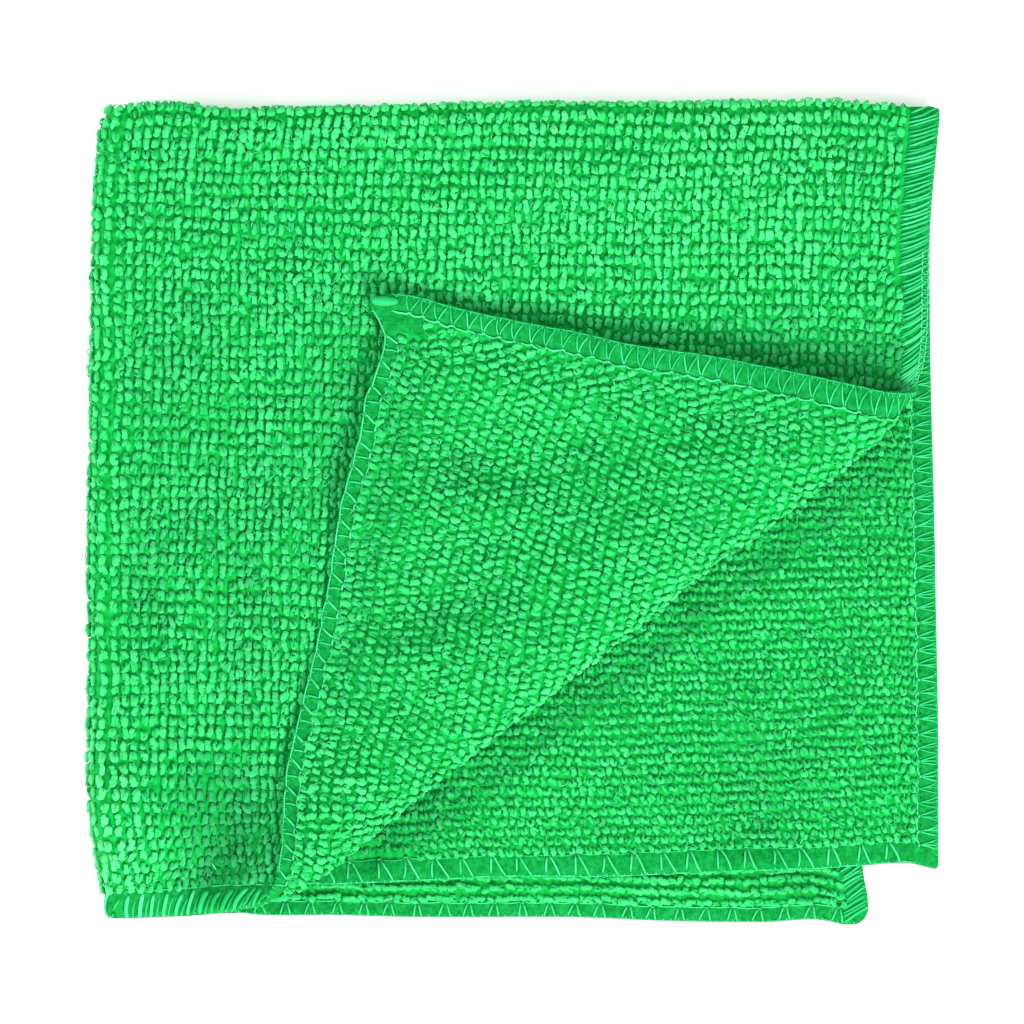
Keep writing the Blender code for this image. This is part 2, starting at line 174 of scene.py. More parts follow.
# ---- folding the square ----------------------------------------------------------------------
def read(table, at):
    """Values of a two-column table on a smooth curve through its rows."""
    xs, ys = np.array(table, float).T
    n = len(xs)
    lo, hi = np.maximum(np.arange(n) - 1, 0), np.minimum(np.arange(n) + 1, n - 1)
    slope = (ys[hi] - ys[lo]) / (xs[hi] - xs[lo])
    at = np.clip(at, xs[0], xs[-1])
    i = np.clip(np.searchsorted(xs, at, side="right") - 1, 0, n - 2)
    w = xs[i + 1] - xs[i]
    u = (at - xs[i]) / w
    return ((2 * u**3 - 3 * u**2 + 1) * ys[i] + (u**3 - 2 * u**2 + u) * w * slope[i]
            + (3 * u**2 - 2 * u**3) * ys[i + 1] + (u**3 - u**2) * w * slope[i + 1])


def ease(u):
    u = np.clip(u, 0.0, 1.0)
    return u * u * (3.0 - 2.0 * u)


ARC_LEFT, ARC_TOP = PI / 2 * PITCH, PI / 2 * PITCH / 2
MIDDLE = THICK / 2 + 1.5 * PITCH
AX, AY = math.cos(CREASE_ANGLE), math.sin(CREASE_ANGLE)
OX, OY = AY, -AX
ROLL_START = -(ROLL + THICK / 2)


def hills(rows, x, y):
    total = np.zeros_like(x)
    for cx, cy, length, width, angle, height in rows:
        a = math.radians(angle)
        dx, dy = x - cx, y - cy
        u, v = (dx * math.cos(a) + dy * math.sin(a)) / length, (dy * math.cos(a) - dx * math.sin(a)) / width
        total += height * np.exp(-(u * u + v * v))
    return total


def across_fold(s, t):
    """Plan place, height and distance past the diagonal fold, before the corner is turned."""
    far, near = (s >= 0) & (t >= 0), (s >= 0) & (t < 0)
    low = (s < 0) & (t < 0)
    across = np.maximum(abs(s) - ARC_LEFT, 0) / (HALF - ARC_LEFT)
    down = np.maximum(abs(t) - ARC_TOP, 0) / (HALF - ARC_TOP)
    turn_left = PI / 2 * np.clip(s / ARC_LEFT, -1, 1)
    turn_top = PI / 2 * np.clip(t / ARC_TOP, -1, 1)
    radius = PITCH + PITCH / 2 * np.sin(turn_top)
    left = read(LEFT_FOLD, down) + 1.5 * PITCH + REACH
    top = read(TOP_FOLD, across) - PITCH / 2 - REACH
    pick = [far, near, low]
    right = np.select(pick, [read(RIGHT_HEM[i], down) for i in (1, 2, 3)], read(RIGHT_HEM[4], down))
    bottom = np.select(pick, [read(BOTTOM_HEM[i], across) for i in (1, 2, 3)], read(BOTTOM_HEM[4], across))
    x = left + across * (right - left) - radius * np.cos(turn_left)
    y = top - down * (top - bottom) + PITCH / 2 * np.cos(turn_top)
    z = MIDDLE + radius * np.sin(turn_left)
    dx, dy = x - CREASE_X, y - CREASE_Y
    past = dx * OX + dy * OY - ROLL_START
    return x, y, z, dx * AX + dy * AY, past, (s >= ARC_LEFT) & (t >= ARC_TOP)


def under_flap(past, q):
    """How far inside the outline of the turned corner a place of ply 1 lies."""
    out = PI * ROLL + ROLL_START - past                  # the place of the corner that lies over it
    ux, uy = CREASE_X + q * AX + out * OX, CREASE_Y + q * AY + out * OY
    in_right = read(RIGHT_HEM[1], (76.0 - uy) / 155.0) - ux
    in_bottom = uy - read(BOTTOM_HEM[1], (ux + 76.0) / 150.0)
    return np.where(past <= 0, np.minimum(in_right, in_bottom), -99.0)


def rounded(s, t):
    """The square with its four corners rounded."""
    radius = np.zeros_like(s)
    for (i, j), value in ROUND.items():
        radius[(s * i > 0) & (t * j > 0)] = value
    radius = np.maximum(radius, 0.1)
    p, q = 1 - (HALF - abs(s)) / radius, 1 - (HALF - abs(t)) / radius
    near = (p > 0) & (q > 0)
    p, q = np.clip(p, 0, 1), np.clip(q, 0, 1)
    a, b = p * np.sqrt(1 - q * q / 2), q * np.sqrt(1 - p * p / 2)
    return (np.where(near, np.sign(s) * (HALF - radius * (1 - a)), s),
            np.where(near, np.sign(t) * (HALF - radius * (1 - b)), t))


def lay(s, t):
    """Middle of the folded cloth at s, t, as an array of points."""
    s, t = np.broadcast_arrays(np.asarray(s, float), np.asarray(t, float))
    s, t = rounded(s, t)
    x, y, z, q, past, ply1 = across_fold(s, t)
    level = (z - THICK / 2) / (3 * PITCH)
    turned = ply1 & (past > 0)
    down, over = (76.0 - y) / 155.0, (x + 76.0) / 150.0
    at_top = read(TOP_EDGE_LIFT, down) * (1 - ease((read(RIGHT_HEM[1], down) - x) / HEM_LIFT_REACH))
    at_left = read(LEFT_EDGE_LIFT, over) * (1 - ease((y - read(BOTTOM_HEM[1], over)) / HEM_LIFT_REACH))
    rest = PITCH + np.hypot(at_top, np.maximum(at_left, 0)) + np.minimum(at_left, 0)
    back = past - PI * ROLL
    ahead = np.where(past < NOSE[-1][0], read([row[:2] for row in NOSE], past), -back)
    share = read(NOSE_HEIGHT, q)
    high = NOSE[-1][2] * share
    rise = np.where(past < NOSE[-1][0], read([row[::2] for row in NOSE], past) * share,
                    rest + (high - rest) * (1 - ease((past - NOSE[-1][0]) / SETTLE)))
    out = ROLL_START + np.where(turned, ahead, past)
    rise = np.where(turned, rise, 0.0)
    x = np.where(ply1, CREASE_X + q * AX + out * OX, x)
    y = np.where(ply1, CREASE_Y + q * AY + out * OY, y)
    dx, dy = x - CREASE_X, y - CREASE_Y
    q2, out2 = dx * AX + dy * AY, dx * OX + dy * OY
    fade = np.where((out2 < 0) & ~turned, 5.5, 11.0)
    stray = np.where(level > 0.9, read(CREASE_STRAY, q2) * np.exp(-(out2 / fade) ** 2), 0.0)
    x, y = x + OX * stray, y + OY * stray
    z = z + level * hills(SWELLS, x, y) + ease((level - 0.45) / 0.55) * hills(HUMP, x, y)
    z = z - np.where(level > 0.5, SAG * ease((x - SAG_FROM) / (SAG_TO - SAG_FROM)), 0.0)
    z = z - np.where(level > 0.9, CORNER_SAG * ease((-y - 71.0) / 5.0) * ease((-x - 56.0) / 10.0), 0.0)
    for length, angle, phase, height in RIPPLES:
        a = math.radians(angle)
        z = z + level * height * np.sin(2 * PI / length * (x * math.cos(a) + y * math.sin(a)) + phase)
    # relief
    bends = (t > -ARC_TOP) & (s > -ARC_LEFT)             # the relief runs out round the two folds
    crown = np.where(ply1, 1.0, np.where(bends, ease((level - 0.5) / 0.5), 0.0))
    flat_top = crown * (1 - ease((past + 9.0) / 9.0)) * (1 - ease((under_flap(past, q) + 1.5) / 5.0))
    flap = turned * ease((past - 0.6 * PI * ROLL) / (0.8 * PI * ROLL))
    tip = turned * np.exp(-(((HALF - s) ** 2 + (HALF - t) ** 2) / TIP[2] ** 2))
    x, y = x + TIP[0] * tip, y + TIP[1] * tip
    lower = ((s > ARC_LEFT) & (t < -ARC_TOP)) * ease((out2 + 4.0) / 8.0)
    strip = (s < -ARC_LEFT) & (t < -ARC_TOP)
    z = z + (flat_top * hills(RELIEF["top"], x, y) + flap * hills(RELIEF["flap"], x, y)
             + lower * hills(RELIEF["lower"], x, y) + strip * hills(RELIEF["strip"], x, y))
    return np.stack([x - CENTRE[0], y - CENTRE[1], z + rise], -1)


def unit(v):
    return v / np.maximum(np.linalg.norm(v, axis=-1, keepdims=True), 1e-12)


def skin(s, t):
    """Middle point, the direction of growing s, and face A's normal."""
    s, t = np.broadcast_arrays(np.asarray(s, float), np.asarray(t, float))
    e = 0.04
    es = lay(s + e, t) - lay(s - e, t)
    et = lay(s, t + e) - lay(s, t - e)
    normal = unit(np.cross(et, es))
    return lay(s, t), unit(es - normal * (es * normal).sum(-1, keepdims=True)), normal


HEM_SHAPE = (            # distance from the edge as a share of the hem's width, half the thickness
    (0.0, 0.0), (0.013, 0.24), (0.042, 0.42), (0.094, 0.56), (0.19, 0.64), (0.38, 0.68),
    (0.64, 0.66), (0.83, 0.58), (0.96, 0.47), (1.06, 0.45))


def hem_place(s, t, side):
    """How far inside the nearest edge a place lies, as a share of the hem, and how far past it."""
    s, t, side = np.broadcast_arrays(np.asarray(s, float), np.asarray(t, float), np.asarray(side, float))

    def width(edge, along):
        return np.where(side > 0, read(HEM_WIDTH[edge, 1], along), read(HEM_WIDTH[edge, -1], along))

    wide_s = np.where(s > 0, width("s+", t), width("s-", t))
    wide_t = np.where(t > 0, width("t+", s), width("t-", s))
    ds, dt = HALF - abs(s), HALF - abs(t)
    return np.minimum(ds / wide_s, dt / wide_t), np.minimum(ds - wide_s, dt - wide_t)


def half_thickness(s, t, side):
    share, _ = hem_place(s, t, side)
    h = np.interp(share, *np.array(HEM_SHAPE).T)
    under = (side > 0) * ease((-s - 4.0) / 4.0) * ease((t - 1.0) / 4.0) * ease(share / 0.4)
    return h + 0.25 * under          # face A of ply 4 lies on the surface


# ---- making meshes ---------------------------------------------------------------------------
def make_mesh(name, points, faces_by_size, attributes, material, smooth=True):
    """Mesh object from points in mm and a list of face arrays, each of one corner count."""
    mesh = bpy.data.meshes.new(name)
    points = np.asarray(points, np.float32) * 0.001
    mesh.vertices.add(len(points))
    mesh.vertices.foreach_set("co", points.ravel())
    faces_by_size = [f for f in faces_by_size if len(f)]
    loops = np.concatenate([f.ravel() for f in faces_by_size]).astype(np.int32)
    sizes = np.concatenate([np.full(len(f), f.shape[1]) for f in faces_by_size])
    starts = np.concatenate([[0], np.cumsum(sizes)[:-1]]).astype(np.int32)
    mesh.loops.add(len(loops))
    mesh.loops.foreach_set("vertex_index", loops)
    mesh.polygons.add(len(sizes))
    mesh.polygons.foreach_set("loop_start", starts)
    mesh.update(calc_edges=True)
    mesh.validate()
    if smooth:
        mesh.shade_smooth()
    for key, value in attributes.items():
        value = np.asarray(value, np.float32)
        kind = "FLOAT" if value.ndim == 1 else "FLOAT_VECTOR"
        layer = mesh.attributes.new(key, kind, "POINT")
        layer.data.foreach_set("value" if kind == "FLOAT" else "vector", value.ravel())
    obj = bpy.data.objects.new(name, mesh)
    bpy.context.scene.collection.objects.link(obj)
    mesh.materials.append(material)
    return obj


def triangles(obj):
    return sum(len(p.vertices) - 2 for p in obj.data.polygons)


# ---- materials -------------------------------------------------------------------------------
class Nodes:
    """Short way to write a node tree."""

    def __init__(self, name):
        self.mat = bpy.data.materials.new(name)
        self.mat.use_nodes = True
        self.tree = self.mat.node_tree
        self.shader = self.tree.nodes["Principled BSDF"]

    def put(self, socket, value):
        if isinstance(value, bpy.types.NodeSocket):
            self.tree.links.new(value, socket)
        elif value is not None:
            socket.default_value = value

    def attribute(self, name, out="Fac"):
        node = self.tree.nodes.new("ShaderNodeAttribute")
        node.attribute_name = name
        return node.outputs[out]

    def math(self, op, a, b=None, c=None, clamp=False):
        node = self.tree.nodes.new("ShaderNodeMath")
        node.operation, node.use_clamp = op, clamp
        for socket, value in zip(node.inputs, (a, b, c)):
            self.put(socket, value)
        return node.outputs[0]

    def noise(self, vector, scale, detail=2.0, rough=0.5, out="Fac"):
        node = self.tree.nodes.new("ShaderNodeTexNoise")
        self.put(node.inputs["Vector"], vector)
        node.inputs["Scale"].default_value = scale
        node.inputs["Detail"].default_value = detail
        node.inputs["Roughness"].default_value = rough
        return node.outputs[out]

    def place(self):
        return self.tree.nodes.new("ShaderNodeTexCoord").outputs["Object"]

    def stretch(self, vector, scale):
        node = self.tree.nodes.new("ShaderNodeVectorMath")
        node.operation = "MULTIPLY"
        self.put(node.inputs[0], vector)
        node.inputs[1].default_value = scale
        return node.outputs[0]

    def ramp(self, fac, stops):
        node = self.tree.nodes.new("ShaderNodeValToRGB")
        self.put(node.inputs[0], fac)
        ramp = node.color_ramp
        while len(ramp.elements) < len(stops):
            ramp.elements.new(0.5)
        for element, (at, colour) in zip(ramp.elements, stops):
            element.position, element.color = at, (*colour, 1.0)
        return node.outputs[0]

    def mix(self, fac, a, b, blend="MIX"):
        node = self.tree.nodes.new("ShaderNodeMix")
        node.data_type, node.blend_type = "RGBA", blend
        self.put(node.inputs[0], fac)
        for socket, value in ((node.inputs[6], a), (node.inputs[7], b)):
            self.put(socket, (*value, 1.0) if isinstance(value, tuple) and len(value) == 3 else value)
        return node.outputs[2]

    def remap(self, value, a, b, c, d, smooth=False):
        node = self.tree.nodes.new("ShaderNodeMapRange")
        node.interpolation_type = "SMOOTHSTEP" if smooth else "LINEAR"
        for socket, v in zip(node.inputs, (value, a, b, c, d)):
            self.put(socket, v)
        return node.outputs[0]

    def bump(self, height, distance, strength=1.0, normal=None):
        node = self.tree.nodes.new("ShaderNodeBump")
        node.inputs["Strength"].default_value = strength
        node.inputs["Distance"].default_value = distance
        self.put(node.inputs["Height"], height)
        self.put(node.inputs["Normal"], normal)
        return node.outputs[0]

    def finish(self, colour, roughness, normal, **values):
        self.put(self.shader.inputs["Base Color"], colour)
        self.put(self.shader.inputs["Roughness"], roughness)
        self.put(self.shader.inputs["Normal"], normal)
        for key, value in values.items():
            self.shader.inputs[key.replace("_", " ")].default_value = value
        return self.mat


def loop_material():
    n = Nodes("microfibre_loops")
    place = n.place()
    tip, tone = n.attribute("tip"), n.attribute("tone")
    # fine filaments run along the yarn
    filament = n.noise(n.stretch(n.attribute("yarn", "Vector"), (1.1, 3.2, 3.2)), 1.0, 3.0, 0.65)
    fine = n.noise(place, 3000.0, 2.0, 0.6)
    patch = n.noise(place, 38.0, 3.0, 0.55)
    # colour by height on the loop: darker and greener low down, painted shade between the loops, paler on the tops,
    # painted highlight; the filaments add their own tone
    key = n.math("ADD", n.math("MULTIPLY", tip, 0.46),
                 n.math("ADD", n.math("MULTIPLY", filament, 0.50), n.math("MULTIPLY", fine, 0.18)))
    colour = n.ramp(key, ((0.24, (0.0018, 0.295, 0.033)), (0.46, (0.005, 0.345, 0.057)),
                          (0.70, (0.013, 0.39, 0.090)), (0.96, (0.038, 0.45, 0.140))))
    # shade: tone of each loop, with its painted shade and highlight, and faint random patches; it multiplies the colour
    shade = n.math("ADD", tone, n.remap(patch, 0.3, 0.7, -0.05, 0.05))
    grey = n.tree.nodes.new("ShaderNodeCombineColor")
    for socket in grey.inputs:
        n.put(socket, shade)
    colour = n.mix(1.0, colour, grey.outputs[0], "MULTIPLY")
    colour = n.mix(n.remap(shade, 1.10, 1.40, 0.0, 0.3), colour, (0.15, 0.44, 0.23))     # paler where the painted light is strongest: a painted sheen
    fluff = n.math("ADD", n.math("MULTIPLY", filament, 0.8), n.math("MULTIPLY", fine, 0.35))
    normal = n.bump(fluff, 0.00026, 0.8)
    rough = n.remap(fine, 0.3, 0.7, 0.65, 0.9)
    return n.finish(colour, rough, normal, Sheen_Weight=0.03, Sheen_Roughness=0.4,
                    Specular_IOR_Level=0.05, Diffuse_Roughness=0.9)


def ground_material():
    """Ground of the knit, with the plain hem, and the loops as bump where none are modelled, their troughs painted
    darker as painted shade.
    """
    n = Nodes("microfibre_ground")
    place = n.place()
    flat = n.tree.nodes.new("ShaderNodeSeparateXYZ")
    n.put(flat.inputs[0], n.attribute("flat", "Vector"))
    s, t = flat.outputs[0], flat.outputs[1]
    edge_s = n.math("SUBTRACT", HALF, n.math("ABSOLUTE", s))
    edge_t = n.math("SUBTRACT", HALF, n.math("ABSOLUTE", t))
    edge = n.math("MINIMUM", edge_s, edge_t)
    hem = n.remap(n.attribute("past"), -0.15, 0.30, 1.0, 0.0, smooth=True)
    # loops in bump, and in colour: darker in their troughs, painted shade
    wave_s = n.math("SINE", n.math("MULTIPLY", s, 2 * PI / 1.69))
    wave_t = n.math("SINE", n.math("MULTIPLY", t, 2 * PI / 2.1))
    wobble = n.noise(place, 420.0, 3.0, 0.6)
    lattice = n.math("ADD", n.math("ADD", wave_s, wave_t), n.math("MULTIPLY", n.math("SUBTRACT", wobble, 0.5), 5.0))
    loops = n.remap(lattice, -2.0, 2.0, 0.0, 1.0)
    fine = n.noise(place, 2400.0, 3.0, 0.6)
    ground = n.ramp(n.math("ADD", n.math("MULTIPLY", loops, 0.6), n.math("MULTIPLY", fine, 0.4)),
                    ((0.2, (0.0010, 0.23, 0.022)), (0.8, (0.004, 0.345, 0.054))))
    # hem: combed yarn that runs across it
    along_s = n.math("LESS_THAN", edge_t, edge_s)          # 1 on the hems that run along s
    run = n.math("ADD", n.math("MULTIPLY", s, along_s),
                 n.math("MULTIPLY", t, n.math("SUBTRACT", 1.0, along_s)))
    comb_place = n.tree.nodes.new("ShaderNodeCombineXYZ")
    n.put(comb_place.inputs[0], n.math("MULTIPLY", run, 3.6))
    n.put(comb_place.inputs[1], n.math("MULTIPLY", edge, 0.55))
    comb = n.noise(comb_place.outputs[0], 1.0, 3.0, 0.6)
    blotch = n.noise(place, 760.0, 3.0, 0.65)
    plain = n.ramp(n.math("ADD", n.math("MULTIPLY", comb, 0.35), n.math("MULTIPLY", blotch, 0.65)),
                   ((0.34, (0.0006, 0.125, 0.015)), (0.50, (0.002, 0.20, 0.032)), (0.66, (0.006, 0.29, 0.056))))
    colour = n.mix(hem, ground, plain)
    ribs = n.math("ADD", n.math("MULTIPLY", comb, 0.4), n.math("MULTIPLY", blotch, 0.9))
    height = n.math("ADD", n.math("MULTIPLY", n.math("MULTIPLY", loops, n.math("SUBTRACT", 1.0, hem)), 1.0),
                    n.math("ADD", n.math("MULTIPLY", ribs, hem), n.math("MULTIPLY", fine, 0.16)))
    normal = n.bump(height, 0.0005, 0.8)
    rough = n.remap(fine, 0.3, 0.7, 0.62, 0.85)
    return n.finish(colour, rough, normal, Sheen_Weight=0.0, Specular_IOR_Level=0.03,
                    Diffuse_Roughness=0.6)


def thread_material():
    n = Nodes("overlock_thread")
    place = n.place()
    twist = n.math("SINE", n.math("MULTIPLY", n.attribute("run"), 2 * PI / 0.42))
    fine = n.noise(place, 5200.0, 2.0, 0.6)
    colour = n.ramp(n.math("ADD", n.math("MULTIPLY", n.attribute("tone"), 0.6), n.math("MULTIPLY", fine, 0.4)),
                    ((0.15, (0.002, 0.22, 0.038)), (0.50, (0.012, 0.35, 0.105)), (0.85, (0.058, 0.45, 0.195))))
    normal = n.bump(n.math("ADD", n.math("MULTIPLY", twist, 0.5), n.math("MULTIPLY", fine, 0.5)), 0.00006, 0.6)
    rough = n.remap(fine, 0.3, 0.7, 0.5, 0.75)
    return n.finish(colour, rough, normal, Sheen_Weight=0.04, Sheen_Roughness=0.4,
                    Specular_IOR_Level=0.08)


def hole_shade_material():
    """Painted shade: a dark colour for the deep shade inside the holes that the needle leaves."""
    n = Nodes("needle_hole_shade")
    place = n.place()
    fine = n.noise(place, 2600.0, 3.0, 0.6)
    colour = n.ramp(fine, ((0.3, (0.0003, 0.05, 0.005)), (0.7, (0.001, 0.12, 0.014))))
    return n.finish(colour, n.remap(fine, 0.3, 0.7, 0.8, 0.95), n.bump(fine, 0.0002, 0.6),
                    Specular_IOR_Level=0.05)


def floor_material():
    n = Nodes("pale_floor")
    place = n.place()
    grain = n.noise(place, 90.0, 4.0, 0.6)
    colour = n.ramp(grain, ((0.3, (0.92, 0.92, 0.915)), (0.7, (0.935, 0.935, 0.93))))
    normal = n.bump(grain, 0.0001, 0.2)
    return n.finish(colour, n.remap(grain, 0.3, 0.7, 0.6, 0.7), normal, Specular_IOR_Level=0.2)


LOOPS, GROUNDS, THREADS, HOLE_SHADE = loop_material(), ground_material(), thread_material(), hole_shade_material()


# ---- the sheet -------------------------------------------------------------------------------
def grid_lines(arc, steps, near, far):
    """Places across the square: fine at the hems and round the fold, near apart past it."""
    hem = [HALF - d for d in (0.0, 0.07, 0.22, 0.5, 1.0, 2.0, 3.4, 4.4, 5.1, 5.6)]
    def half(step):
        n = int(round((HALF - 5.6 - arc) / step))
        return list(np.linspace(arc, HALF - 5.6, n + 1)[:-1]) + hem[::-1]
    bend = list(np.linspace(-arc, arc, steps + 1)[1:-1])
    return np.array([-v for v in half(far)[::-1]] + bend + half(near))


def build_sheet():
    ss, ts = grid_lines(ARC_LEFT, 12, 1.27, 2.5), grid_lines(ARC_TOP, 8, 1.27, 2.5)
    S, T = np.meshgrid(ss, ts, indexing="ij")
    mid, _, normal = skin(S, T)
    ni, nj = S.shape
    over = mid + normal * half_thickness(S, T, 1)[..., None]
    under = mid - normal * half_thickness(S, T, -1)[..., None]
    inner = np.zeros(S.shape, bool)
    inner[1:-1, 1:-1] = True
    index_a = np.arange(ni * nj).reshape(ni, nj)
    index_b = index_a.copy()
    index_b[inner] = ni * nj + np.arange(inner.sum())
    points = np.concatenate([over.reshape(-1, 3), under[inner]])
    points[:, 2] = np.maximum(points[:, 2], 0.02)        # flat where it lies on the surface
    flat = np.concatenate([np.stack([S, T, inner * 1.0], -1).reshape(-1, 3),
                           np.stack([S[inner], T[inner], -np.ones(inner.sum())], -1)])
    bare = (HALF - S[inner] < BARE[0]) & (HALF - T[inner] < BARE[1])
    past = np.concatenate([hem_place(S, T, 1)[1].ravel(),
                           np.where(bare, -1.0, hem_place(S[inner], T[inner], -1)[1])])
    def split(index, flip):
        a, b, c, d = index[:-1, :-1], index[1:, :-1], index[1:, 1:], index[:-1, 1:]
        other = np.zeros((*a.shape, 1), bool)
        other[-1, 0] = other[0, -1] = True               # so that no triangle lies wholly on the rim
        first = np.where(other, np.stack([a, b, d], -1), np.stack([a, b, c], -1))
        second = np.where(other, np.stack([b, c, d], -1), np.stack([a, c, d], -1))
        tris = np.concatenate([first.reshape(-1, 3), second.reshape(-1, 3)])
        return tris[:, ::-1] if flip else tris
    # face A's normal is t x s, so its faces run the other way round
    faces = np.concatenate([split(index_a, True), split(index_b, False)])
    return make_mesh("cloth_sheet", points, [faces], {"flat": flat, "past": past}, GROUNDS)


# ---- loops -----------------------------------------------------------------------------------
YARN = {                 # thickness, half width and half length of a loop, share that lie straight,
    # share whose ends point the near way, spread of their tilt in degrees, height
    "looped": dict(thick=1.06, wide=0.36, long=0.76, straight=0.45, near=0.5, spread=14.0, tall=0.30),
    "corner": dict(thick=1.00, wide=0.31, long=0.66, straight=0.35, near=0.5, spread=20.0, tall=0.26),
    "lower": dict(thick=0.88, wide=0.42, long=0.62, straight=0.30, near=0.2, spread=12.0, tall=0.26),
    "fibre": dict(thick=0.19, wide=0.30, long=0.72, straight=1.0, near=0.5, spread=42.0, tall=0.80)}


def looped(rng, n, kind, rings):
    """Plan of n short loops of yarn, how high they rise along their length, and their thickness."""
    tau = np.linspace(0, 1, rings)[None, :]
    wide = kind["wide"] * rng.normal(1.0, 0.17, (n, 1))
    long = kind["long"] * rng.normal(1.0, 0.09, (n, 1))
    # two legs side by side, one shorter, joined by a bend
    arch = np.sin(PI * tau) ** 0.75
    short = rng.uniform(0.0, 1.0, (n, 1))
    u = -wide * np.cos(PI * tau)
    v = long * np.where(tau > 0.5, 1 - (2 - short) * (1 - arch), 2 * arch - 1)
    v = v * np.where(rng.random((n, 1)) < kind["near"], 1, -1)
    u = u * rng.choice((-1, 1), (n, 1)) if kind["near"] == 0.5 else u
    thick = (1.08 - 0.22 * tau) * np.ones((n, 1))
    # or one fat strand, a little bowed
    straight = rng.random((n, 1)) < kind["straight"]
    bow = rng.normal(0, 0.20, (n, 1))
    snake = rng.normal(0, 0.07, (n, 1))
    u = np.where(straight, bow * (np.sin(PI * tau) - 0.6) + snake * np.sin(2 * PI * tau), u)
    v = np.where(straight, -long * 0.98 * np.cos(PI * tau), v)
    thick = np.where(straight, 1.24, thick)
    u, v = u + rng.normal(0, 0.065, (n, rings)), v + rng.normal(0, 0.05, (n, rings))
    rise = np.sin(PI * (tau * 0.92 + 0.04)) ** 0.40
    return u, v, rise * np.ones((n, 1)), thick * kind["thick"] / 2


def yarn_field(name, s, t, side, sort, tilt, seed, nap_and_light_rows, jitter=0.12, scale=1.0, shade=1.0, rings=8, sides=5):
    """A short loop of yarn at each place, every one a closed tube, joined as one mesh."""
    rng = np.random.default_rng(seed)
    n, kind = len(s), YARN[sort]
    s = s + rng.normal(0, jitter, n)
    t = t + rng.normal(0, jitter * 1.15, n)
    mid, e1, normal = skin(s, t)
    out = normal * side
    e2 = np.cross(out, e1)
    base = mid + out * half_thickness(s, t, side)[:, None]
    U, V, rise, thick = looped(rng, n, kind, rings)
    U, V = U * scale, V * scale
    radius = thick * scale * rng.normal(1.0, 0.08, (n, 1)) * (0.80 + 0.24 * rise)
    radius = radius * (1 + rng.normal(0, 0.11, (n, rings)))
    top = kind["tall"] * rng.normal(1.0, 0.42 if kind["tall"] < 0.5 else 0.16, (n, 1))
    slope = rng.normal(0, 0.10, (n, 1)) * np.linspace(-1, 1, rings)[None, :]
    W = -0.12 + (0.12 + top) * rise + slope
    turn = math.radians(tilt) + rng.normal(0, math.radians(kind["spread"]), (n, 1))
    U, V = U * np.cos(turn) - V * np.sin(turn), U * np.sin(turn) + V * np.cos(turn)
    dU, dV, dW = np.gradient(U, axis=1), np.gradient(V, axis=1), np.gradient(W, axis=1)
    plan = np.hypot(dU, dV) + 1e-6
    across = np.stack([-dV / plan, dU / plan, np.zeros_like(dU)], -1)
    along = unit(np.stack([dU, dV, dW], -1))
    above = np.cross(along, across)
    a = 2 * PI * (np.arange(sides) / sides) + PI * 0.3
    skin_r = radius[:, :, None, None] * (1 + rng.normal(0, 0.14, (n, rings, sides, 1)))
    local = (np.stack([U, V, W], -1)[:, :, None, :]
             + skin_r * (np.cos(a)[None, None, :, None] * across[:, :, None, :]
                         + 0.9 * np.sin(a)[None, None, :, None] * above[:, :, None, :]))
    world = (base[:, None, None, :] + local[..., :1] * e1[:, None, None, :]
             + local[..., 1:2] * e2[:, None, None, :] + local[..., 2:] * out[:, None, None, :])
    world[..., 2] += np.maximum(0.02 - world[..., 2].min(axis=(1, 2)), 0)[:, None, None]
    ring, step = np.meshgrid(np.arange(rings - 1), np.arange(sides), indexing="ij")
    nxt = (step + 1) % sides
    quads = np.stack([ring * sides + step, ring * sides + nxt, (ring + 1) * sides + nxt,
                      (ring + 1) * sides + step], -1).reshape(-1, 4)
    caps = np.array([np.arange(sides)[::-1], (rings - 1) * sides + np.arange(sides)])
    shift = (np.arange(n) * rings * sides)[:, None, None]
    faces = [(quads[None] + shift).reshape(-1, 4), (caps[None] + shift).reshape(-1, sides)]
    length = np.cumsum(np.sqrt(dU**2 + dV**2 + dW**2), axis=1) + rng.uniform(0, 500, (n, 1))
    yarn = np.stack([np.repeat(length[:, :, None], sides, 2), np.cos(a) + np.zeros((n, rings, 1)),
                     np.sin(a) + np.zeros((n, rings, 1))], -1)
    # height on the loop; the colour makes low parts darker, painted shade in the gaps, and tops paler, painted
    # highlight
    tip = np.clip((local[..., 2] + 0.15) / 0.75, 0, 1.2)
    x, y = mid[:, 0] + CENTRE[0], mid[:, 1] + CENTRE[1]
    # random tone of each loop, times the painted shade and highlight from the nap rows
    tone = shade * np.clip(rng.normal(1.0, 0.05, n), 0.86, 1.14) * (1 + hills(NAP_AND_PAINTED_LIGHT[nap_and_light_rows], x, y))
    tone = np.repeat(tone, rings * sides)
    return make_mesh(name, world.reshape(-1, 3), faces,
                     {"tip": tip.ravel(), "tone": tone, "yarn": yarn.reshape(-1, 3)}, LOOPS)


def lattice(s0, s1, t0, t1, ds, dt, brick=0.0):
    """Rows and columns of places from s0, t0 towards s1, t1, second rows shifted by brick."""
    ns, nt = int(abs(s1 - s0) / ds) + 1, int(abs(t1 - t0) / dt) + 1
    i, j = np.meshgrid(np.arange(ns), np.arange(nt), indexing="ij")
    return ((s0 + math.copysign(ds, s1 - s0) * (i + brick * (j % 2))).ravel(),
            (t0 + math.copysign(dt, t1 - t0) * j).ravel())


